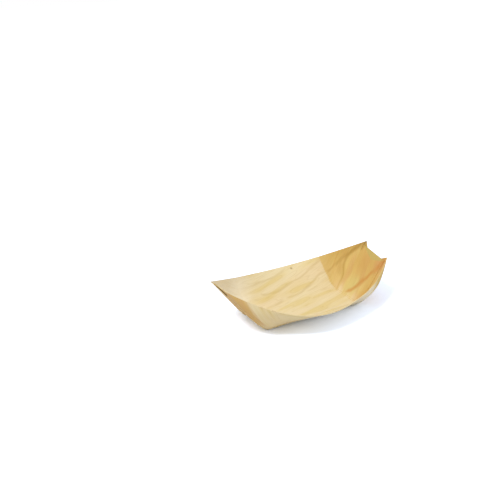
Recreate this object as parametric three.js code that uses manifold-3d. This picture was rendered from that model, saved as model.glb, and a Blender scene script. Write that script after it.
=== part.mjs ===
// Wooden food boat: one rectangular sheet of pine veneer, slit at the ends, folded and glued.
// The tab between the slits of each end is creased up as the end panel. The side walls curl up
// from the floor, and their ends fold round the panel's sides as two flaps, which cross and are
// glued on its outer face. The sheet's four corners stand above the end panels as horns.
// Millimetres, +X along the boat, +Z up, origin on the underside at the middle of the floor.

import * as THREE from "three";
import { mergeVertices } from "three/addons/utils/BufferGeometryUtils.js";
import Module from "manifold-3d";

const wasm = await Module();
wasm.setup();

// Driving dimensions
const veneer = 0.8; // thickness of the sheet
const overallLength = 190; // horn tip to horn tip
const floorLength = 110; // between the two end creases
const floorShift = 1.5; // both creases are this much further to +X than the horns
const tabWidth = 38.8; // the end crease, as long as the tab is wide
const floorWaist = 12; // the flat of the floor at mid-length, where its edges are most rounded
const hornHeight = 49.1; // horn tips above the table, on average
const hornSpread = 36.4; // between the two horn tips of one end
const hornLean = 2.5; // one horn of each end stands this much higher, the other lower
const leftRise = 1.3; // the horns at -X stand this much higher, those at +X lower
const backRise = 0.9; // the horns at +Y stand this much higher, those at -Y lower
const hornRise = 5; // from the end panel's top edge up to the horn tip, along the fold
const wallWidth = 121.6; // across the rims at mid-length
const wallHeight = 23.4; // rim above the table at mid-length
const frontPress = 2.6; // how far the rim at -Y is pressed in, where it is most
const pressStation = 0.3; // where along the boat that is, see station below
const pressReach = 0.3; // how far to each side it has nearly faded out
const endBulge = 5.6; // how far the wall bows out beside the end panel
const bulgeStart = 0.2; // phase of that bulge at the crease: 0 is none, 0.5 is all of it
const panelBow = 2.5; // how far an end panel bows outwards, a third of the way up it
const flapEdge = 45; // cut end of a flap, from the horn tip to its free corner
const flapDrop = 40; // angle of that cut below the level, in degrees
const glueLap = 0.1; // how much deeper the first flap of an end is sunk into its panel

// Mesh fineness
const floorColumns = 24; // along the floor
const endColumns = 14; // along each raised end
const floorRows = 6; // across the floor
const wallRows = 12; // up each wall
const flapRows = 10; // along the fold of each flap
const flapColumns = 6; // across each flap

const halfLength = overallLength / 2;
const halfFloor = floorLength / 2;
const floorLevel = veneer / 2; // middle of the sheet where it lies on the table

const mix = (a, b, share) => a + (b - a) * share;

// A station is a place along the boat, from -1 at one pair of horns to 1 at the other.
function creaseStation(end) {
  return (end * halfFloor + floorShift) / halfLength;
}

// From 0 at mid-length to 1 at the crease and on.
function alongFloor(station) {
  return Math.min(1, station / creaseStation(Math.sign(station) || 1));
}

// 0 on the floor, then from 0 at the crease to 1 at the horns.
function climb(station) {
  const start = Math.abs(creaseStation(Math.sign(station) || 1));
  return Math.max(0, (Math.abs(station) - start) / (1 - start));
}

function creaseCorner(end, side) {
  return new THREE.Vector3(end * halfFloor + floorShift, (side * tabWidth) / 2, floorLevel);
}

// How much the hand-folded sheet's long edge is higher here than that of an even boat.
function unevenness(station, side) {
  return (hornLean * side * station - leftRise * station + backRise * side) * station ** 2;
}

function hornTip(end, side) {
  return new THREE.Vector3(
    end * halfLength,
    (side * hornSpread) / 2,
    hornHeight + unevenness(end, side),
  );
}

const foldLength = creaseCorner(1, 1).distanceTo(hornTip(1, 1));
const panelShare = 1 - hornRise / foldLength; // share of the fold that the end panel takes up

// The way that the outer face of an end panel looks.
function panelOutward(end) {
  const run = halfLength - halfFloor - end * floorShift;
  const rise = hornHeight - end * leftRise - floorLevel;
  return new THREE.Vector3(end * rise, 0, -run).normalize();
}

// A point of the flaps' layer at one end: across runs from -1 to 1 between the two folds, and up
// from 0 at the crease to 1 at the horn tips.
function flapLayer(end, across, up) {
  const near = creaseCorner(end, -1).lerp(hornTip(end, -1), up);
  const far = creaseCorner(end, 1).lerp(hornTip(end, 1), up);
  const bow = ((panelBow * 27) / 4) * up * (1 - up) ** 2;
  return near.lerp(far, (across + 1) / 2).addScaledVector(panelOutward(end), bow);
}

// The end panel lies one sheet further in than the flaps, except at the crease.
function endPanel(end, across, up) {
  return flapLayer(end, across, up).addScaledVector(panelOutward(end), -veneer * Math.sqrt(up));
}

// The line that the wall rises from: the floor's long edge, then the end panel's side.
function wallFoot(station, side) {
  if (climb(station) > 0) {
    return endPanel(Math.sign(station), side, climb(station) * panelShare);
  }
  return new THREE.Vector3(station * halfLength, (side * tabWidth) / 2, floorLevel);
}

// How far the rounding between floor and wall reaches to each side of the floor's long edge.
function rounding(station) {
  return ((tabWidth - floorWaist) / 2) * (1 - alongFloor(station) ** 2);
}

// The edge of the floor's flat, where the rounding starts.
function flatEdge(station, side) {
  const foot = wallFoot(station, side);
  return foot.setY(foot.y - side * rounding(station));
}

// The sheet's long edge.
function rim(station, side) {
  const away = station * station;
  const fade = Math.exp(-(((station - pressStation) / pressReach) ** 2)) * (1 - away);
  const pressed = side < 0 ? frontPress * fade : 0;
  return new THREE.Vector3(
    station * halfLength,
    (side * mix(wallWidth, hornSpread, away)) / 2 + pressed,
    mix(wallHeight, hornHeight, away) + unevenness(station, side),
  );
}

// A point on the middle of the wall: up is 0 at the edge of the floor's flat and 1 at the rim.
// The wall is rounded at its foot, then straight, and it bows out towards the end panels.
function wallPoint(station, side, up) {
  const foot = wallFoot(station, side);
  const top = rim(station, side);
  const slope = top.clone().sub(foot);
  const reach = rounding(station) / slope.length();
  const roundedShare = (2 * reach) / (1 + reach);
  const point = new THREE.Vector3();
  if (up < roundedShare) {
    const turn = up / roundedShare;
    const start = flatEdge(station, side).lerp(foot, turn);
    point.copy(start.lerp(foot.addScaledVector(slope, reach * turn), turn));
  } else {
    const rise = (up - roundedShare) / (1 - roundedShare);
    point.copy(foot.addScaledVector(slope, mix(reach, 1, rise)));
  }
  const swell = Math.sin(Math.PI * mix(bulgeStart, 1, climb(station)));
  const bow = 4 * up * (1 - up) * endBulge * swell * alongFloor(station) ** 4;
  const out = new THREE.Vector3(0, side * slope.z, -side * slope.y).normalize();
  point.addScaledVector(out, bow);
  return point.setZ(Math.max(point.z, floorLevel));
}

function evenly(from, to, count) {
  return Array.from({ length: count + 1 }, (_, i) => mix(from, to, i / count));
}

const stations = [
  ...evenly(-1, creaseStation(-1), endColumns).slice(0, -1),
  ...evenly(creaseStation(-1), creaseStation(1), floorColumns),
  ...evenly(creaseStation(1), 1, endColumns).slice(1),
];

// The middle of the sheet at one station, from the rim at -Y to the rim at +Y.
function sectionAcross(station) {
  const left = flatEdge(station, -1);
  const right = flatEdge(station, 1);
  return [
    ...evenly(1, 0, wallRows).slice(0, -1).map((up) => wallPoint(station, -1, up)),
    ...evenly(0, 1, floorRows).map((share) => left.clone().lerp(right, share)),
    ...evenly(0, 1, wallRows).slice(1).map((up) => wallPoint(station, 1, up)),
  ];
}

// Closes two matching grids of points, the faces of a sheet, into one solid.
function slab(upper, lower) {
  const rows = upper.length;
  const columns = upper[0].length;
  const at = (layer, i, j) => (layer * rows + i) * columns + j;
  const faces = [];
  const quad = (a, b, c, d) => faces.push([a, b, c], [a, c, d]);
  const ends = [0, columns - 1];
  for (let i = 0; i < rows - 1; i++) {
    for (let j = 0; j < columns - 1; j++) {
      quad(at(0, i, j), at(0, i + 1, j), at(0, i + 1, j + 1), at(0, i, j + 1));
      quad(at(1, i, j), at(1, i, j + 1), at(1, i + 1, j + 1), at(1, i + 1, j));
    }
    quad(at(0, i, ends[0]), at(1, i, ends[0]), at(1, i + 1, ends[0]), at(0, i + 1, ends[0]));
    quad(at(0, i + 1, ends[1]), at(1, i + 1, ends[1]), at(1, i, ends[1]), at(0, i, ends[1]));
  }
  for (let j = 0; j < columns - 1; j++) {
    quad(at(0, 0, j + 1), at(1, 0, j + 1), at(1, 0, j), at(0, 0, j));
    quad(at(0, rows - 1, j), at(1, rows - 1, j), at(1, rows - 1, j + 1), at(0, rows - 1, j + 1));
  }
  const geometry = new THREE.BufferGeometry();
  const places = [...upper.flat(), ...lower.flat()].flatMap((point) => point.toArray());
  geometry.setAttribute("position", new THREE.Float32BufferAttribute(places, 3));
  geometry.setIndex(faces.flat());
  const merged = mergeVertices(geometry, 1e-4);
  const corners = merged.index.array;
  const kept = faces
    .map((_, i) => [corners[3 * i], corners[3 * i + 1], corners[3 * i + 2]])
    .filter(([a, b, c]) => a !== b && b !== c && c !== a);
  return new wasm.Manifold(
    new wasm.Mesh({
      numProp: 3,
      vertProperties: new Float32Array(merged.attributes.position.array),
      triVerts: new Uint32Array(kept.flat()),
    }),
  );
}

// The way that the inner face of the sheet looks at each point of the grid.
function inwardNormals(grid) {
  const last = grid.length - 1;
  return grid.map((row, i) =>
    row.map((_, j) => {
      const along = grid[Math.min(i + 1, last)][j].clone().sub(grid[Math.max(i - 1, 0)][j]);
      const across = row[Math.min(j + 1, row.length - 1)].clone().sub(row[Math.max(j - 1, 0)]);
      return along.cross(across).normalize();
    }),
  );
}

// Floor, end panels and walls. The floor's flat is kept exactly level, to stand on.
function sheetBody() {
  const middle = stations.map(sectionAcross);
  const normals = inwardNormals(middle);
  const level = new THREE.Vector3(0, 0, 1);
  const face = (distance) =>
    middle.map((row, i) =>
      row.map((point, j) => {
        const onFlat = climb(stations[i]) === 0 && j >= wallRows && j <= wallRows + floorRows;
        return point.clone().addScaledVector(onFlat ? level : normals[i][j], distance);
      }),
    );
  return slab(face(veneer / 2), face(-veneer / 2));
}

// The end of a wall, folded round the panel's side: a triangle between the crease corner, the
// horn tip and a free corner. The second flap of an end climbs over the first.
function flap(end, side, climbsOver) {
  const outward = panelOutward(end);
  const drop = THREE.MathUtils.degToRad(flapDrop);
  const foldAcross = side * (1 + veneer / hornSpread);
  const freeAcross = side * (1 - (2 * flapEdge * Math.cos(drop)) / hornSpread);
  const freeUp = 1 - (flapEdge * Math.sin(drop)) / foldLength;
  const inner = [];
  const outer = [];
  for (const up of evenly(0, 1, flapRows)) {
    const towardsTip = Math.max(0, (up - freeUp) / (1 - freeUp));
    const reach = Math.min(up / freeUp, 1 - towardsTip);
    inner.push([]);
    outer.push([]);
    for (const share of evenly(0, 1, flapColumns)) {
      const across = mix(foldAcross, freeAcross, share * reach);
      const point = flapLayer(end, across, up);
      const lift = climbsOver ? veneer * Math.min(1, 2 * share * reach) : 0;
      const glued = endPanel(end, across, up).addScaledVector(outward, climbsOver ? glueLap : 0);
      const free = point.clone().addScaledVector(outward, lift - veneer / 2);
      inner.at(-1).push(up < panelShare ? glued : free);
      outer.at(-1).push(point.clone().addScaledVector(outward, lift + veneer / 2));
    }
  }
  return side * end > 0 ? slab(outer, inner) : slab(inner, outer);
}

let boatSolid = sheetBody();
for (const end of [-1, 1]) {
  boatSolid = boatSolid.add(flap(end, end, false)).add(flap(end, -end, true));
}

const faces = boatSolid.getMesh();
const boatShape = new THREE.BufferGeometry();
boatShape.setAttribute("position", new THREE.BufferAttribute(new Float32Array(faces.vertProperties), 3));
boatShape.setIndex(new THREE.BufferAttribute(new Uint32Array(faces.triVerts), 1));
boatShape.computeVertexNormals();

const pine = new THREE.MeshStandardMaterial({ color: 0xe8d29b, roughness: 0.72, metalness: 0 });
const boat = new THREE.Mesh(boatShape, pine);
boat.name = "folded_veneer";

const foodBoat = new THREE.Group();
foodBoat.add(boat);

export default foodBoat;
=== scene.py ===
"""Looks of the wooden food boat: one sheet of pine veneer, cut flat, folded and thickened."""

import math

import bmesh
import bpy
from mathutils import Matrix, Vector


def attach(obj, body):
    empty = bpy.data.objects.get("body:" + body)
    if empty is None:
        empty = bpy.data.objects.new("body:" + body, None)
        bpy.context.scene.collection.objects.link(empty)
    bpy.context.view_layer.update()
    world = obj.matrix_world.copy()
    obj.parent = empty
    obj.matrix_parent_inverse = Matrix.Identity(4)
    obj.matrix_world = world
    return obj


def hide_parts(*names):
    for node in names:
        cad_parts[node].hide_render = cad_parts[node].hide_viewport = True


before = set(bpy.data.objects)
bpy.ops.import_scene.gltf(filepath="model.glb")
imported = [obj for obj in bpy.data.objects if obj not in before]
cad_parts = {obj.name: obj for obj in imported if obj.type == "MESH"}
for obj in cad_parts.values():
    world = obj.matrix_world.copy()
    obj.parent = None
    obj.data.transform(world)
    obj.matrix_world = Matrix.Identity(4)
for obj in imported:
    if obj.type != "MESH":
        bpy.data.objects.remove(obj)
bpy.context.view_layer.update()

# Sizes of the boat in metres, as in the CAD source.
VENEER = 0.0008
HALF_LENGTH = 0.095
HALF_FLOOR = 0.055
FLOOR_SHIFT = 0.0015  # both creases are this much further to +X than the horns
TAB_WIDTH = 0.0388
FLOOR_WAIST = 0.012  # the flat of the floor at mid-length
HORN_HEIGHT = 0.0491
HORN_SPREAD = 0.0364  # between the two horn tips of an end
HORN_LEAN = 0.0025  # one horn of each end stands this much higher, the other lower
LEFT_RISE = 0.0013  # the horns at -X stand this much higher, those at +X lower
BACK_RISE = 0.0009  # the horns at +Y stand this much higher, those at -Y lower
HORN_RISE = 0.005  # from an end panel's top edge up to the horn tip
WALL_WIDTH = 0.1216  # between the rims at mid-length
WALL_HEIGHT = 0.0234  # of the rims at mid-length
FRONT_PRESS = 0.0026  # how far the rim at -Y is pressed in, where it is most
PRESS_STATION = 0.3  # where that is, as a share of the half length
PRESS_REACH = 0.3  # how far along the rim it is felt, in the same way
END_BULGE = 0.0056  # how far the wall bows out beside an end panel
BULGE_START = 0.2  # how much of the bulge's rise and fall lies before the crease
PANEL_BOW = 0.0025  # how far an end panel bows outwards, a third of the way up it
BOW_PEAK = 27 / 4  # makes up * (1 - up) ** 2 come to 1 at its highest
FLAP_EDGE = 0.045  # from the horn tip to the flap's free corner
FLAP_DROP = math.radians(40)  # how steeply that edge drops

FLOOR_LEVEL = VENEER / 2

# How far apart the layers of an end lie, in thicknesses of veneer, so that none touch.
TAB_CLEARANCE = 1.02
FLAP_CLEARANCE = 1.05
CLIMB_SHARE = 3  # the upper flap has climbed over the lower one at a third of its width
WELD_DISTANCE = 2e-5  # joins the flaps to the walls along their folds
CREASE_ANGLE = math.radians(40)  # sharper folds than this stay sharp
GRID_TOLERANCE = 1e-4  # when a blank's edge is looked up by its place
JUST_PAST = 1e-6  # keeps the crease itself on the floor
NO_LENGTH = 1e-7

# How finely the sheet is divided.
STEPS_ALONG_FLOOR = 72
STEPS_ALONG_END = 30
STEPS_ACROSS_FLOOR = 16
STEPS_UP_WALL = 32
STEPS_ACROSS_FLAP = 20


def mix(a, b, share):
    return a + (b - a) * share


def crease_station(end):
    """A station is a place along the boat, from -1 at one pair of horns to 1 at the other."""
    return (end * HALF_FLOOR + FLOOR_SHIFT) / HALF_LENGTH


def end_of(station):
    return -1 if station < 0 else 1


def along_floor(station):
    """0 at mid-length, 1 at the crease and on."""
    return min(1.0, station / crease_station(end_of(station)))


def climb(station):
    """0 on the floor, 1 at the horns."""
    start = abs(crease_station(end_of(station)))
    return max(0.0, (abs(station) - start - JUST_PAST) / (1 - start - JUST_PAST))


def crease_corner(end, side):
    return Vector((end * HALF_FLOOR + FLOOR_SHIFT, side * TAB_WIDTH / 2, FLOOR_LEVEL))


def unevenness(station, side):
    """How much higher the hand-folded rim is here than that of an even boat."""
    return (HORN_LEAN * side * station - LEFT_RISE * station + BACK_RISE * side) * station ** 2


def horn_tip(end, side):
    return Vector((end * HALF_LENGTH, side * HORN_SPREAD / 2, HORN_HEIGHT + unevenness(end, side)))


FOLD_LENGTH = (horn_tip(1, 1) - crease_corner(1, 1)).length
PANEL_SHARE = 1 - HORN_RISE / FOLD_LENGTH


def panel_outward(end):
    """The way that the outer face of an end panel looks."""
    run = HALF_LENGTH - HALF_FLOOR - end * FLOOR_SHIFT
    rise = HORN_HEIGHT - end * LEFT_RISE - FLOOR_LEVEL
    return Vector((end * rise, 0, -run)).normalized()


def flap_layer(end, across, up):
    """A point between the two folds of one end, in the layer that the flaps lie in."""
    near = crease_corner(end, -1).lerp(horn_tip(end, -1), up)
    far = crease_corner(end, 1).lerp(horn_tip(end, 1), up)
    bow = PANEL_BOW * BOW_PEAK * up * (1 - up) ** 2
    return near.lerp(far, (across + 1) / 2) + panel_outward(end) * bow


def end_panel(end, across, up):
    """The tab lies one sheet further in than the flaps, except at the crease."""
    inset = VENEER * TAB_CLEARANCE * math.sqrt(up)
    return flap_layer(end, across, up) - panel_outward(end) * inset


def wall_foot(station, side):
    """The line that the wall rises from: the floor's long edge, then the fold of the flap."""
    if climb(station) > 0:
        return flap_layer(end_of(station), side, climb(station))
    return Vector((station * HALF_LENGTH, side * TAB_WIDTH / 2, FLOOR_LEVEL))


def rounding(station):
    """How far the rounding between floor and wall reaches from the floor's long edge."""
    return (TAB_WIDTH - FLOOR_WAIST) / 2 * (1 - along_floor(station) ** 2)


def flat_edge(station, side):
    """The edge of the floor's flat, where the rounding starts."""
    foot = wall_foot(station, side)
    foot.y -= side * rounding(station)
    return foot


def rim(station, side):
    """The sheet's long edge."""
    away = station * station
    fade = math.exp(-((station - PRESS_STATION) / PRESS_REACH) ** 2) * (1 - away)
    pressed = FRONT_PRESS * fade if side < 0 else 0.0
    return Vector((
        station * HALF_LENGTH,
        side * mix(WALL_WIDTH, HORN_SPREAD, away) / 2 + pressed,
        mix(WALL_HEIGHT, HORN_HEIGHT, away) + unevenness(station, side),
    ))


def wall_point(station, side, up):
    """A point on the wall: up is 0 at the edge of the floor's flat and 1 at the rim."""
    foot = wall_foot(station, side)
    top = rim(station, side)
    slope = top - foot
    if slope.length < NO_LENGTH:
        return top
    reach = rounding(station) / slope.length
    rounded_share = 2 * reach / (1 + reach)
    if up < rounded_share:
        turn = up / rounded_share
        point = flat_edge(station, side).lerp(foot, turn).lerp(foot + slope * (reach * turn), turn)
    else:
        rise = (up - rounded_share) / (1 - rounded_share)
        point = foot + slope * mix(reach, 1, rise)
    swell = math.sin(math.pi * mix(BULGE_START, 1, climb(station)))
    bow = 4 * up * (1 - up) * END_BULGE * swell * along_floor(station) ** 4
    point += Vector((0, side * slope.z, -side * slope.y)).normalized() * bow
    point.z = max(point.z, FLOOR_LEVEL)
    return point


def station_of(step):
    """The station of a row of the sheet, counted from its left end."""
    step -= STEPS_ALONG_END
    left, right = crease_station(-1), crease_station(1)
    if step < 0:
        return mix(left, -1, -step / STEPS_ALONG_END)
    if step <= STEPS_ALONG_FLOOR:
        return mix(left, right, step / STEPS_ALONG_FLOOR)
    return mix(right, 1, (step - STEPS_ALONG_FLOOR) / STEPS_ALONG_END)


def lay_out_sheet(name, rows, columns):
    """A flat blank with its vertices in rows and columns, still to be folded."""
    bpy.ops.object.select_all(action="DESELECT")
    bpy.ops.mesh.primitive_grid_add(x_subdivisions=rows, y_subdivisions=columns, size=2)
    blank = bpy.context.active_object
    blank.name = name
    return blank


def row_and_column(co, rows, columns):
    return round((co.x + 1) / 2 * rows), round((co.y + 1) / 2 * columns)


def select_edges(blank, wanted):
    """Selects the edges of a blank whose middle is where wanted says."""
    bpy.ops.mesh.select_all(action="DESELECT")
    mesh = bmesh.from_edit_mesh(blank.data)
    for edge in mesh.edges:
        middle = (edge.verts[0].co + edge.verts[1].co) / 2
        edge.select_set(wanted(middle, edge))
    bmesh.update_edit_mesh(blank.data)


def fold_floor_walls_and_tabs():
    """Floor, side walls and end tabs: slit along the tabs' sides, then folded up."""
    rows = STEPS_ALONG_FLOOR + 2 * STEPS_ALONG_END
    columns = STEPS_ACROSS_FLOOR + 2 * STEPS_UP_WALL
    blank = lay_out_sheet("veneer_sheet", rows, columns)
    slit_y = STEPS_ACROSS_FLOOR / columns
    slit_x = STEPS_ALONG_FLOOR / rows
    bpy.ops.object.mode_set(mode="EDIT")
    bpy.ops.mesh.select_mode(type="EDGE")
    select_edges(blank, lambda middle, edge: (
        abs(abs(middle.y) - slit_y) < GRID_TOLERANCE and abs(middle.x) > slit_x
        and abs(edge.verts[0].co.y - edge.verts[1].co.y) < GRID_TOLERANCE))
    bpy.ops.mesh.edge_split(type="EDGE")
    mesh = bmesh.from_edit_mesh(blank.data)
    layout = mesh.loops.layers.uv.verify()
    tab_vertices = set()
    for face in mesh.faces:
        middle = face.calc_center_median()
        if abs(middle.y) < slit_y and abs(middle.x) > slit_x:
            tab_vertices.update(face.verts)
    run_up_foot, run_up_rim = lengths_along(rows)
    places = {}
    flats = {}
    for vertex in mesh.verts:
        row, column = row_and_column(vertex.co, rows, columns)
        station = station_of(row)
        side = -1 if column < columns / 2 else 1
        floor_column = column - STEPS_UP_WALL
        on_tab = vertex in tab_vertices and climb(station) > 0
        if on_tab:
            end = end_of(station)
            across = 2 * floor_column / STEPS_ACROSS_FLOOR - 1
            up = climb(station) * PANEL_SHARE
            places[vertex] = end_panel(end, across, up)
            flats[vertex] = (run_up_foot[row], across * TAB_WIDTH / 2)
        elif 0 <= floor_column <= STEPS_ACROSS_FLOOR and climb(station) == 0:
            share = floor_column / STEPS_ACROSS_FLOOR
            left = flat_edge(station, -1)
            places[vertex] = left.lerp(flat_edge(station, 1), share)
            flats[vertex] = (run_up_foot[row], places[vertex].y)
        else:
            from_foot = STEPS_UP_WALL - column if side < 0 else floor_column - STEPS_ACROSS_FLOOR
            up = from_foot / STEPS_UP_WALL
            places[vertex] = wall_point(station, side, up)
            wall_length = (rim(station, side) - flat_edge(station, side)).length
            across = abs(flat_edge(station, side).y) if climb(station) == 0 else TAB_WIDTH / 2
            flats[vertex] = (
                mix(run_up_foot[row], run_up_rim[row], up), side * (across + up * wall_length))
    for vertex, place in places.items():
        vertex.co = place
        for loop in vertex.link_loops:
            loop[layout].uv = flats[vertex]
    bmesh.update_edit_mesh(blank.data)
    bpy.ops.object.mode_set(mode="OBJECT")
    return blank


def lengths_along(rows):
    """For each row of the sheet, how far it is from mid-length along the foot and along the rim."""
    foot = [wall_foot(station_of(row), 1) for row in range(rows + 1)]
    top = [rim(station_of(row), 1) for row in range(rows + 1)]

    def running(points):
        total = [0.0]
        for a, b in zip(points, points[1:]):
            total.append(total[-1] + (b - a).length)
        return [length - total[-1] / 2 for length in total]

    return running(foot), running(top)


def fold_flap(end, side, climbs_over):
    """The end of a wall, folded round the tab's side and laid on its outer face."""
    rows = STEPS_ALONG_END
    blank = lay_out_sheet(f"flap_{int(end)}_{int(side)}", rows, STEPS_ACROSS_FLAP)
    outward = panel_outward(end)
    free_across = side * (1 - 2 * FLAP_EDGE * math.cos(FLAP_DROP) / HORN_SPREAD)
    free_up = 1 - FLAP_EDGE * math.sin(FLAP_DROP) / FOLD_LENGTH
    bpy.ops.object.mode_set(mode="EDIT")
    mesh = bmesh.from_edit_mesh(blank.data)
    layout = mesh.loops.layers.uv.verify()
    for vertex in mesh.verts:
        row, column = row_and_column(vertex.co, rows, STEPS_ACROSS_FLAP)
        up = row / rows
        share = column / STEPS_ACROSS_FLAP
        towards_tip = max(0.0, (up - free_up) / (1 - free_up))
        reach = min(up / free_up, 1 - towards_tip)
        across = mix(side, free_across, share * reach)
        climbed = min(1.0, CLIMB_SHARE * share * reach) if climbs_over else 0.0
        lift = VENEER * FLAP_CLEARANCE * climbed
        vertex.co = flap_layer(end, across, up) + outward * lift
        from_fold = share * reach * abs(side - free_across) * HORN_SPREAD / 2
        run = end * (HALF_FLOOR + up * FOLD_LENGTH) + FLOOR_SHIFT
        flat = (run, side * (TAB_WIDTH / 2 - from_fold))
        for loop in vertex.link_loops:
            loop[layout].uv = flat
    bmesh.update_edit_mesh(blank.data)
    bpy.ops.object.mode_set(mode="OBJECT")
    return blank


def fold_the_boat():
    """Welds the flaps to the walls along their folds and gives the sheet its thickness."""
    sheet = fold_floor_walls_and_tabs()
    flaps = []
    for end in (-1, 1):
        flaps.append(fold_flap(end, end, False))
        flaps.append(fold_flap(end, -end, True))
    bpy.ops.object.select_all(action="DESELECT")
    for flap in flaps:
        flap.select_set(True)
    sheet.select_set(True)
    bpy.context.view_layer.objects.active = sheet
    bpy.ops.object.join()
    bpy.ops.object.mode_set(mode="EDIT")
    bpy.ops.mesh.select_all(action="SELECT")
    bpy.ops.mesh.remove_doubles(threshold=WELD_DISTANCE)
    bpy.ops.mesh.select_all(action="SELECT")
    bpy.ops.mesh.normals_make_consistent(inside=False)
    bpy.ops.object.mode_set(mode="OBJECT")
    floor_faces = [
        face for face in sheet.data.polygons
        if face.center.z < 2 * FLOOR_LEVEL and abs(face.center.y) < FLOOR_WAIST / 2]
    if sum(face.normal.z for face in floor_faces) < 0:
        bpy.ops.object.mode_set(mode="EDIT")
        bpy.ops.mesh.flip_normals()
        bpy.ops.object.mode_set(mode="OBJECT")
    sheet.data.materials.clear()
    for finish in (pine_inner_face(), pine_outer_face(), pine_cut_edge()):
        sheet.data.materials.append(finish)
    thickness = sheet.modifiers.new("veneer_thickness", "SOLIDIFY")
    thickness.thickness = VENEER
    thickness.offset = 0
    thickness.material_offset = 1
    thickness.material_offset_rim = 2
    bpy.ops.object.modifier_apply(modifier=thickness.name)
    bpy.ops.object.shade_smooth_by_angle(angle=CREASE_ANGLE)
    return sheet


def srgb(red, green, blue):
    """A colour as seen on screen, 0 to 255, as the shader wants it."""
    def linear(value):
        value /= 255
        return value / 12.92 if value <= 0.04045 else ((value + 0.055) / 1.055) ** 2.4
    return (linear(red), linear(green), linear(blue), 1.0)


# Colours of the veneer as seen, 0 to 255. Some of them stand in for light or shade, as noted where
# they are used.
CREAM = srgb(240, 223, 180)
ROSY_CREAM = srgb(239, 219, 176)
WARM_YELLOW = srgb(230, 206, 134)
# Late-wood colour of the grain, also laid along the right-hand crease as painted shade.
LATE_WOOD_AND_CREASE_SHADE = srgb(208, 180, 112)
FIBRE_SHADE = srgb(232, 224, 200)
AMBER = srgb(216, 176, 105)
LIGHT_AMBER = srgb(223, 193, 116)
DEEP_AMBER = srgb(206, 158, 76)
OLIVE_STREAK = srgb(182, 142, 62)
ORANGE_STREAK = srgb(204, 142, 66)
ROSY_AMBER = srgb(214, 160, 104)
GREENISH_PALE = srgb(199, 178, 102)
PALE_OLIVE = srgb(217, 200, 126)
KNOT = srgb(150, 122, 70)
HANDLED = srgb(128, 98, 56)
YELLOW_AMBER = srgb(224, 192, 112)
# A pale cream laid over faces that turn from the light: painted light.
PAINTED_LIGHT_CREAM = srgb(252, 242, 218)
END_GRAIN = srgb(234, 216, 172)
# Painted shade for the cut edge of the far rim.
FAR_RIM_EDGE_SHADE = srgb(206, 184, 128)
END_GRAIN_DARK = srgb(190, 150, 92)

# How the patterns lie on the flat sheet, in millimetres.
MILLIMETRES = 1000  # in a metre
GRAIN_ANGLE = math.radians(15)
GRAIN_WANDER = 0.012  # in metres, how far the grain strays from a straight line
GRAIN_WANDERS = 14  # about how often it does so in a metre
RINGS = 9  # late-wood lines in the broad figure
RIGHT_CREASE = 56.6
HALF_ALONG = 125  # a streak's points are within this far of mid-length
HALF_ACROSS = 90  # and within this far of the middle line
STREAK_BEND = 7.0
STREAK_FRAY = 0.8  # share of a streak's width
STREAK_FADE = 6  # how long each end of a streak takes to fade out
SPOT_CORE = 0.2  # share of a spot's radius that has its full colour

# The planed face.
ROUGHNESS = 0.50
ROUGHNESS_SPREAD = 0.22
SHEEN = 0.3
FIBRE_RELIEF = 0.35
FIBRE_HEIGHT = 0.0004


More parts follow.
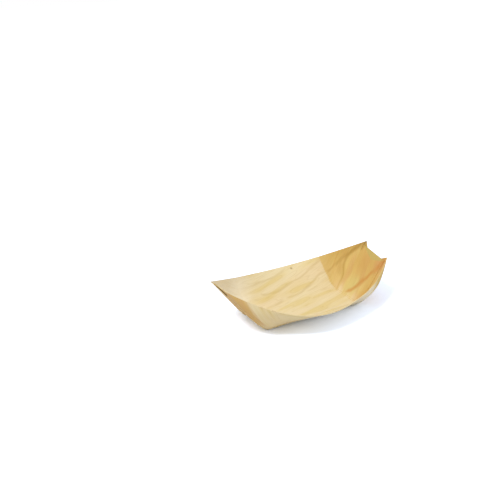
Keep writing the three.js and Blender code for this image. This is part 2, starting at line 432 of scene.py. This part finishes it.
class VeneerFinish:
    """One face of the veneer. Its patterns are laid out on the flat sheet, in millimetres:
    along from the left horns to the right ones, across from the near rim to the far one."""

    def __init__(self, name):
        self.material = bpy.data.materials.new(name)
        self.material.use_nodes = True
        self.tree = self.material.node_tree
        self.shader = self.tree.nodes["Principled BSDF"]
        sheet = self.tree.nodes.new("ShaderNodeUVMap")
        sheet.uv_map = "UVMap"
        self.flat_place = sheet.outputs["UV"]
        parts = self.tree.nodes.new("ShaderNodeSeparateXYZ")
        self.join(self.flat_place, parts.inputs[0])
        self.along = self.maths("MULTIPLY", parts.outputs["X"], MILLIMETRES)
        self.across = self.maths("MULTIPLY", parts.outputs["Y"], MILLIMETRES)
        self.grain_place = self.turned_to_the_grain()

    def join(self, value, socket):
        if isinstance(value, bpy.types.NodeSocket):
            self.tree.links.new(value, socket)
        else:
            socket.default_value = value

    def maths(self, operation, first, second=0.0, third=0.0):
        step = self.tree.nodes.new("ShaderNodeMath")
        step.operation = operation
        for value, socket in zip((first, second, third), step.inputs):
            self.join(value, socket)
        return step.outputs[0]

    def fade(self, value, start, end):
        """0 up to start, 1 from end on, and smooth between."""
        step = self.tree.nodes.new("ShaderNodeMapRange")
        step.interpolation_type = "SMOOTHSTEP"
        self.join(value, step.inputs["Value"])
        step.inputs["From Min"].default_value = start
        step.inputs["From Max"].default_value = end
        return step.outputs["Result"]

    def both(self, first, second):
        return self.maths("MULTIPLY", first, second)

    def stain(self, under, colour, share):
        """Lays one colour over another as far as share says."""
        step = self.tree.nodes.new("ShaderNodeMix")
        step.data_type = "RGBA"
        self.join(share, step.inputs["Factor"])
        self.join(under, step.inputs["A"])
        self.join(colour, step.inputs["B"])
        return step.outputs["Result"]

    def turned_to_the_grain(self):
        """The veneer was cut askew: its grain climbs from the near rim to the far one."""
        turned = self.tree.nodes.new("ShaderNodeMapping")
        turned.inputs["Rotation"].default_value = (0, 0, -GRAIN_ANGLE)
        self.join(self.flat_place, turned.inputs["Vector"])
        wander = self.tree.nodes.new("ShaderNodeTexNoise")
        wander.inputs["Scale"].default_value = GRAIN_WANDERS
        wander.inputs["Detail"].default_value = 1
        self.join(turned.outputs[0], wander.inputs["Vector"])
        bend = self.tree.nodes.new("ShaderNodeVectorMath")
        bend.operation = "MULTIPLY_ADD"
        self.join(wander.outputs["Color"], bend.inputs[0])
        bend.inputs[1].default_value = (0.0, GRAIN_WANDER, 0.0)
        self.join(turned.outputs[0], bend.inputs[2])
        return bend.outputs[0]

    def figure(self, long, wide, detail=2.0, shift=0.0):
        """Uneven figure, drawn out along the grain: long and wide in millimetres."""
        drawn = self.tree.nodes.new("ShaderNodeMapping")
        drawn.inputs["Location"].default_value = (shift, shift, 0)
        drawn.inputs["Scale"].default_value = (MILLIMETRES / long, MILLIMETRES / wide, 1)
        self.join(self.grain_place, drawn.inputs["Vector"])
        noise = self.tree.nodes.new("ShaderNodeTexNoise")
        noise.inputs["Scale"].default_value = 1
        noise.inputs["Detail"].default_value = detail
        self.join(drawn.outputs[0], noise.inputs["Vector"])
        return noise.outputs["Fac"]

    def streak(self, points, width, bend, fray):
        """A darker line through points of the flat sheet, fading out at its ends."""
        curve = self.tree.nodes.new("ShaderNodeFloatCurve")
        line = curve.mapping.curves[0]
        places = [
            ((along + HALF_ALONG) / (2 * HALF_ALONG), (across + HALF_ACROSS) / (2 * HALF_ACROSS))
            for along, across in points]
        line.points[0].location = places[0]
        line.points[1].location = places[-1]
        for place in places[1:-1]:
            line.points.new(*place)
        curve.mapping.update()
        run = self.maths("MULTIPLY_ADD", self.along, 1 / (2 * HALF_ALONG), 0.5)
        self.join(run, curve.inputs["Value"])
        middle = self.maths("MULTIPLY_ADD", curve.outputs[0], 2 * HALF_ACROSS, -HALF_ACROSS)
        off = self.maths("SUBTRACT", self.across, middle)
        off = self.maths("MULTIPLY_ADD", bend, STREAK_BEND, off)
        off = self.maths("ABSOLUTE", self.maths("MULTIPLY_ADD", fray, width * STREAK_FRAY, off))
        mark = self.both(self.fade(off, width, 0.0), self.fade(bend, -0.30, -0.02))
        starts = self.fade(self.along, points[0][0], points[0][0] + STREAK_FADE)
        ends = self.fade(self.along, points[-1][0], points[-1][0] - STREAK_FADE)
        return self.both(mark, self.both(starts, ends))

    def spot(self, along, across, radius):
        """A round mark, darkest in its middle."""
        run = self.maths("SUBTRACT", self.along, along)
        rise = self.maths("SUBTRACT", self.across, across)
        off = self.maths("SQRT", self.maths("ADD", self.both(run, run), self.both(rise, rise)))
        return self.fade(off, radius, radius * SPOT_CORE)

    def planed_surface(self, colour, fibre, figure):
        """Fibres stand a little proud of the planed face, and take the sheen away."""
        self.join(colour, self.shader.inputs["Base Color"])
        roughness = self.maths("MULTIPLY_ADD", figure, ROUGHNESS_SPREAD, ROUGHNESS)
        self.join(roughness, self.shader.inputs["Roughness"])
        self.shader.inputs["Specular IOR Level"].default_value = SHEEN
        relief = self.tree.nodes.new("ShaderNodeBump")
        relief.inputs["Strength"].default_value = FIBRE_RELIEF
        relief.inputs["Distance"].default_value = FIBRE_HEIGHT
        self.join(fibre, relief.inputs["Height"])
        self.join(relief.outputs[0], self.shader.inputs["Normal"])
        return self.material


def sawn_figure(finish):
    """What both faces share: cream wood, yellow figure and late-wood lines."""
    broad = finish.figure(75, 12, 1.2)
    rosy = finish.figure(120, 26, 1.0, shift=4.0)
    colour = finish.stain(CREAM, ROSY_CREAM, finish.fade(rosy, 0.42, 0.62))
    colour = finish.stain(colour, WARM_YELLOW, finish.both(finish.fade(broad, 0.42, 0.62), 0.7))
    rings = finish.maths("PINGPONG", finish.maths("MULTIPLY", broad, RINGS), 0.5)
    colour = finish.stain(colour, LATE_WOOD_AND_CREASE_SHADE, finish.both(finish.fade(rings, 0.12, 0.0), 0.22))
    return colour, broad


def fibres_over(finish, colour, fibre):
    """Fibres and short resin flecks, which run on through every stain."""
    flecks = finish.figure(5, 0.35, 1.0, shift=17.0)
    shaded = finish.tree.nodes.new("ShaderNodeMix")
    shaded.data_type = "RGBA"
    shaded.blend_type = "MULTIPLY"
    finish.join(finish.both(finish.fade(fibre, 0.46, 0.74), 0.55), shaded.inputs["Factor"])
    finish.join(colour, shaded.inputs["A"])
    finish.join(FIBRE_SHADE, shaded.inputs["B"])
    resin = finish.both(finish.fade(flecks, 0.66, 0.76), 0.3)
    return finish.stain(shaded.outputs["Result"], LATE_WOOD_AND_CREASE_SHADE, resin)


def late_wood_lines(finish, colour, soft, wobble):
    """The grey-olive lines that run up the floor and the far wall."""
    for points in (
        ((-8, 25), (10, 26.7), (23, 30.8), (36.7, 36.7), (48, 41.7), (60, 42.5)),
        ((-34, 36), (-12, 36), (10, 43), (22, 44.5), (40, 52), (62, 59)),
        ((-70, 46), (-45, 48), (-20, 53), (0, 56), (14, 61)),
        ((-60, 12), (-40, 16), (-22, 19), (-8, 24)),
    ):
        line = finish.streak(points, 2.6, soft, wobble)
        colour = finish.stain(colour, LATE_WOOD_AND_CREASE_SHADE, finish.both(line, 0.38))
    return colour


def amber_of_the_ends(finish, colour, broad, fibre, soft):
    """Amber past the right-hand crease and, weaker, on the left-hand tab. Past the crease it is
    partly the wood's own colour and partly painted shade, darker where the faces turn from the
    light.
    """
    edge = finish.maths("MULTIPLY_ADD", finish.maths("ADD", fibre, soft), 2.6, finish.along)
    from_middle = finish.maths("ABSOLUTE", finish.across)
    # Past the right-hand crease: amber wood and painted shade together.
    amber_and_shade_past_crease = finish.fade(edge, 54.2, 56.6)
    lighter = finish.fade(finish.maths("ADD", broad, soft), 0.40, 0.62)
    amber = finish.stain(AMBER, LIGHT_AMBER, lighter)
    run = finish.maths("MULTIPLY_ADD", soft, 20.0, finish.along)
    less_amber_near_crease = finish.maths("SUBTRACT", 1.0, finish.fade(run, 52.0, 74.0))
    on_tab = finish.fade(from_middle, 22.0, 17.0)
    paler = finish.both(less_amber_near_crease, finish.maths("MULTIPLY_ADD", on_tab, 0.37, 0.35))
    held_back = finish.maths("SUBTRACT", 0.9, paler)
    colour = finish.stain(colour, amber, finish.both(amber_and_shade_past_crease, held_back))
    # The far wall past the crease in yellower amber, part of the same painted shade.
    on_wall = finish.both(amber_and_shade_past_crease, finish.fade(finish.across, 19.0, 30.0))
    colour = finish.stain(colour, YELLOW_AMBER, finish.both(on_wall, 0.65))
    # Painted shade: deeper amber towards the top of the right panel.
    near_top = finish.both(on_tab, finish.fade(finish.along, 70.0, 104.0))
    colour = finish.stain(colour, DEEP_AMBER, finish.both(near_top, 0.5))
    # Painted light: the far half of the left end made paler, where it turns from the light.
    painted_light_far_left = finish.both(
        finish.fade(finish.along, -30.0, -66.0), finish.fade(finish.across, 2.0, 18.0))
    colour = finish.stain(colour, PAINTED_LIGHT_CREAM, finish.both(painted_light_far_left, 0.9))
    left_tab = finish.both(finish.fade(edge, -62.0, -108.0), finish.fade(from_middle, 21.0, 18.5))
    colour = finish.stain(colour, AMBER, finish.both(left_tab, 0.6))
    # Deeper amber on the near side past the right-hand crease, partly painted shade like the rest
    # of it.
    low = finish.both(
        finish.fade(finish.across, -7.0, -20.0), finish.fade(finish.along, 100.0, 60.0))
    return finish.stain(colour, DEEP_AMBER, finish.both(finish.both(low, amber_and_shade_past_crease), 0.8))


def patches_on_the_right_panel(finish, colour):
    """Its rosy upper corner, two soft patches, and painted light on the single layer between the
    flaps, as if light shone through it.
    """
    upper_corner = finish.both(
        finish.fade(finish.across, -6.0, -17.0), finish.fade(finish.along, 92.0, 112.0))
    colour = finish.stain(colour, ROSY_AMBER, finish.both(upper_corner, 0.65))
    colour = finish.stain(colour, PALE_OLIVE, finish.both(finish.spot(71.0, 3.0, 17.0), 0.6))
    colour = finish.stain(colour, OLIVE_STREAK, finish.both(finish.spot(74.0, 29.0, 10.0), 0.28))
    from_flaps = finish.maths("ABSOLUTE", finish.maths("ADD", finish.across, 1.7))
    between_flaps = finish.maths("MULTIPLY_ADD", from_flaps, -0.43, finish.along)
    # Painted light: the single layer lighter and greener, as if light shone through it.
    single = finish.fade(between_flaps, 109.2, 110.6)
    return finish.stain(colour, GREENISH_PALE, finish.both(single, 0.85))


def streaks_on_the_right_end(finish, colour, soft, wobble):
    """Painted shade along soft folds at the right end: two olive lines, the orange one that crosses
    the panel, and a faint one on the wall.
    """
    lower_olive = ((52, 16), (64, 20.8), (72, 23.4), (79.5, 29.6), (89.8, 31.4), (103, 24.2),
                   (122, 16.5))
    upper_olive = ((54, 43), (63, 40.8), (75, 37.5), (88, 33), (100, 26), (122, 15))
    orange = ((57, 8), (71.7, -1.7), (83, -5.8), (95, -11.2), (105, -16.2), (122, -19))
    faint = ((60, 30), (72, 44), (84, 47), (98, 41))
    # Each line is painted shade where the sheet bends softly.
    for points, shade, width, strength in (
        (lower_olive, OLIVE_STREAK, 3.0, 0.5),
        (upper_olive, OLIVE_STREAK, 3.2, 0.42),
        (orange, ORANGE_STREAK, 4.6, 0.75),
        (faint, ORANGE_STREAK, 2.4, 0.25),
    ):
        mark = finish.streak(points, width, soft, wobble)
        colour = finish.stain(colour, shade, finish.both(mark, strength))
    return colour


def small_marks(finish, colour):
    """Painted shade along the right-hand crease, two pin knots and the thumbed tip of the far right
    horn.
    """
    crease = finish.maths("ABSOLUTE", finish.maths("SUBTRACT", finish.along, RIGHT_CREASE))
    beside_tab = finish.fade(finish.maths("ABSOLUTE", finish.across), 22.0, 18.0)
    # Painted shade: a darker line along the crease.
    fold_line = finish.both(finish.fade(crease, 0.9, 0.1), beside_tab)
    colour = finish.stain(colour, LATE_WOOD_AND_CREASE_SHADE, finish.both(fold_line, 0.3))
    colour = finish.stain(colour, KNOT, finish.both(finish.spot(19.1, 59.3, 2.0), 0.65))
    colour = finish.stain(colour, KNOT, finish.both(finish.spot(-52.0, -31.0, 1.2), 0.5))
    off_the_tab = finish.fade(finish.across, 18.6, 19.4)
    horn_tip_only = finish.both(finish.spot(118.5, 20.0, 8.0), off_the_tab)
    return finish.stain(colour, HANDLED, finish.both(horn_tip_only, 0.95))


def pine_inner_face():
    """The face that holds the food: cream, and amber past the right-hand crease, partly the wood's
    colour and partly painted shade.
    """
    finish = VeneerFinish("pine_inner_face")
    colour, broad = sawn_figure(finish)
    fibre = finish.figure(22, 0.45, 3.0, shift=9.0)
    wobble = finish.maths("SUBTRACT", finish.figure(9, 3, 2.0, shift=30.0), 0.5)
    soft = finish.maths("SUBTRACT", finish.figure(40, 10, 1.0, shift=50.0), 0.5)
    colour = late_wood_lines(finish, colour, soft, wobble)
    colour = amber_of_the_ends(finish, colour, broad, fibre, soft)
    colour = patches_on_the_right_panel(finish, colour)
    colour = streaks_on_the_right_end(finish, colour, soft, wobble)
    colour = small_marks(finish, colour)
    return finish.planed_surface(fibres_over(finish, colour, fibre), fibre, broad)


def pine_outer_face():
    """The face that the hand holds: cream on the walls, amber where it was folded, partly the
    wood's colour and partly painted shade, and painted light on the near wall.
    """
    finish = VeneerFinish("pine_outer_face")
    colour, broad = sawn_figure(finish)
    fibre = finish.figure(22, 0.45, 3.0, shift=9.0)
    wobble = finish.maths("SUBTRACT", finish.figure(9, 4, 2.0, shift=70.0), 0.5)
    soft = finish.maths("SUBTRACT", finish.figure(34, 7, 1.5, shift=90.0), 0.5)
    from_middle = finish.maths("ABSOLUTE", finish.across)
    from_mid_length = finish.maths("ABSOLUTE", finish.along)
    towards_horn = finish.maths("MULTIPLY_ADD", from_mid_length, -0.08, 5.0)
    uneven = finish.maths("MULTIPLY_ADD", wobble, 8.0, from_middle)
    distance = finish.maths("ADD", uneven, towards_horn)
    # Amber on the folded ends: partly the wood's colour, partly painted shade of faces turned from
    # the light.
    past_crease = finish.fade(from_mid_length, 57.0, 76.0)
    folded = finish.both(finish.fade(distance, 35.0, 30.0), past_crease)
    amber = finish.stain(AMBER, ROSY_AMBER, finish.both(finish.fade(soft, -0.12, 0.22), 0.6))
    colour = finish.stain(colour, amber, finish.both(folded, 0.85))
    # Painted shade: the outer face by the near right horn, darker and yellower.
    near_right_horn = finish.both(
        finish.fade(finish.along, 58.0, 72.0), finish.fade(finish.across, -30.0, -38.0))
    colour = finish.stain(colour, YELLOW_AMBER, finish.both(near_right_horn, 0.9))
    # Painted light: the near wall's outer face made paler, where it faces down and away from the
    # light.
    pale = finish.both(
        finish.fade(finish.along, -45.0, 15.0), finish.fade(finish.along, 76.0, 54.0))
    pale = finish.both(pale, finish.fade(finish.across, -18.0, -26.0))
    colour = finish.stain(colour, PAINTED_LIGHT_CREAM, pale)
    return finish.planed_surface(fibres_over(finish, colour, fibre), fibre, broad)


def pine_cut_edge():
    """Where the sheet was cut: pale end grain, burnished here and there, with painted shade on the
    far rim, at the right end and along the right panel's top edge.
    """
    finish = VeneerFinish("pine_cut_edge")
    pores = finish.figure(0.5, 0.5, 2.0, shift=5.0)
    burnished = finish.figure(14, 6, 2.0, shift=25.0)
    # Painted shade: the far rim's cut edge darker than the near one.
    colour = finish.stain(END_GRAIN, FAR_RIM_EDGE_SHADE, finish.fade(finish.across, -10.0, 20.0))
    # Yellow amber at the right end: partly the wood's colour, partly painted shade.
    right_end = finish.fade(finish.along, 54.0, 66.0)
    colour = finish.stain(colour, YELLOW_AMBER, finish.both(right_end, 0.75))
    # Painted shade: a darker line along the right panel's top edge.
    panel_top = finish.both(
        finish.fade(finish.along, 108.0, 114.0),
        finish.fade(finish.maths("ABSOLUTE", finish.across), 24.0, 18.0))
    colour = finish.stain(colour, OLIVE_STREAK, finish.both(panel_top, 0.55))
    colour = finish.stain(colour, LATE_WOOD_AND_CREASE_SHADE, finish.both(finish.fade(pores, 0.45, 0.7), 0.4))
    rubbed = finish.both(finish.fade(burnished, 0.52, 0.66), 0.55)
    colour = finish.stain(colour, END_GRAIN_DARK, rubbed)
    horn_tip = finish.both(finish.spot(119.8, 18.9, 7.0), 0.8)
    colour = finish.stain(colour, HANDLED, horn_tip)
    return finish.planed_surface(colour, pores, burnished)


# The photograph's view, the table and the light. Lens and sensor are in millimetres.
CAMERA_PLACE = (-0.34744, -0.56638, 0.34558)
CAMERA_BACKWARDS = (-0.41886, -0.82273, 0.38427)
CAMERA_TILT = math.radians(-2.076)
LENS = 50.835
SENSOR_WIDTH = 36
TABLE_SIZE = 12
TABLE_DROP = 0.00005  # keeps the table's face clear of the boat's underside
TABLE_WHITE = (0.80, 0.80, 0.80, 1)
TABLE_SEEN_WHITE = (1.42, 1.58, 1.95, 1)  # as the camera sees it, so that it reads as white
SKY_ON_THE_BOAT = 0.71
SKY_SEEN = 1.0  # by the camera and in sheens
SUN_STRENGTH = 1.08
SUN_SPREAD = math.radians(12)
SUN_TOWARDS = (-0.50, -0.16, 0.85)


def photo_camera():
    """Stands where the photograph was taken from, with its small tilt."""
    backwards = Vector(CAMERA_BACKWARDS).normalized()
    right = Vector((0, 0, 1)).cross(backwards).normalized()
    up = backwards.cross(right)
    turn = Matrix((right, up, backwards)).transposed() @ Matrix.Rotation(CAMERA_TILT, 3, "Z")
    data = bpy.data.cameras.new("photo_camera")
    data.lens = LENS
    data.sensor_width = SENSOR_WIDTH
    camera = bpy.data.objects.new("photo_camera", data)
    camera.matrix_world = Matrix.Translation(CAMERA_PLACE) @ turn.to_4x4()
    bpy.context.collection.objects.link(camera)
    bpy.context.scene.camera = camera


def white_table():
    """A matt table, whose lit face is white to the camera and keeps the boat's shadow."""
    bpy.ops.object.select_all(action="DESELECT")
    bpy.ops.mesh.primitive_plane_add(size=TABLE_SIZE, location=(0, 0, -TABLE_DROP))
    table = bpy.context.active_object
    table.name = "table"
    material = bpy.data.materials.new("white_table")
    material.use_nodes = True
    tree = material.node_tree
    shader = tree.nodes["Principled BSDF"]
    shader.inputs["Roughness"].default_value = 0.9
    shader.inputs["Specular IOR Level"].default_value = 0.0
    path = tree.nodes.new("ShaderNodeLightPath")
    seen = tree.nodes.new("ShaderNodeMix")
    seen.data_type = "RGBA"
    seen.inputs["A"].default_value = TABLE_WHITE
    seen.inputs["B"].default_value = TABLE_SEEN_WHITE
    tree.links.new(path.outputs["Is Camera Ray"], seen.inputs["Factor"])
    tree.links.new(seen.outputs["Result"], shader.inputs["Base Color"])
    table.data.materials.append(material)


def soft_daylight():
    """An even white sky, and a soft sun from the upper left."""
    world = bpy.data.worlds.new("studio")
    bpy.context.scene.world = world
    world.use_nodes = True
    tree = world.node_tree
    background = tree.nodes["Background"]
    path = tree.nodes.new("ShaderNodeLightPath")
    strength = tree.nodes.new("ShaderNodeMapRange")
    strength.inputs["To Min"].default_value = SKY_ON_THE_BOAT
    strength.inputs["To Max"].default_value = SKY_SEEN
    either = tree.nodes.new("ShaderNodeMath")
    either.operation = "MAXIMUM"
    tree.links.new(path.outputs["Is Camera Ray"], either.inputs[0])
    tree.links.new(path.outputs["Is Glossy Ray"], either.inputs[1])
    tree.links.new(either.outputs[0], strength.inputs["Value"])
    tree.links.new(strength.outputs["Result"], background.inputs["Strength"])
    background.inputs["Color"].default_value = (1, 1, 1, 1)
    data = bpy.data.lights.new("window", "SUN")
    data.energy = SUN_STRENGTH
    data.angle = SUN_SPREAD
    lamp = bpy.data.objects.new("window", data)
    lamp.rotation_euler = Vector(SUN_TOWARDS).normalized().to_track_quat("Z", "Y").to_euler()
    bpy.context.collection.objects.link(lamp)


boat = fold_the_boat()
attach(boat, "root")
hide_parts("folded_veneer")
white_table()
soft_daylight()
photo_camera()
bpy.context.scene.view_settings.view_transform = "Standard"
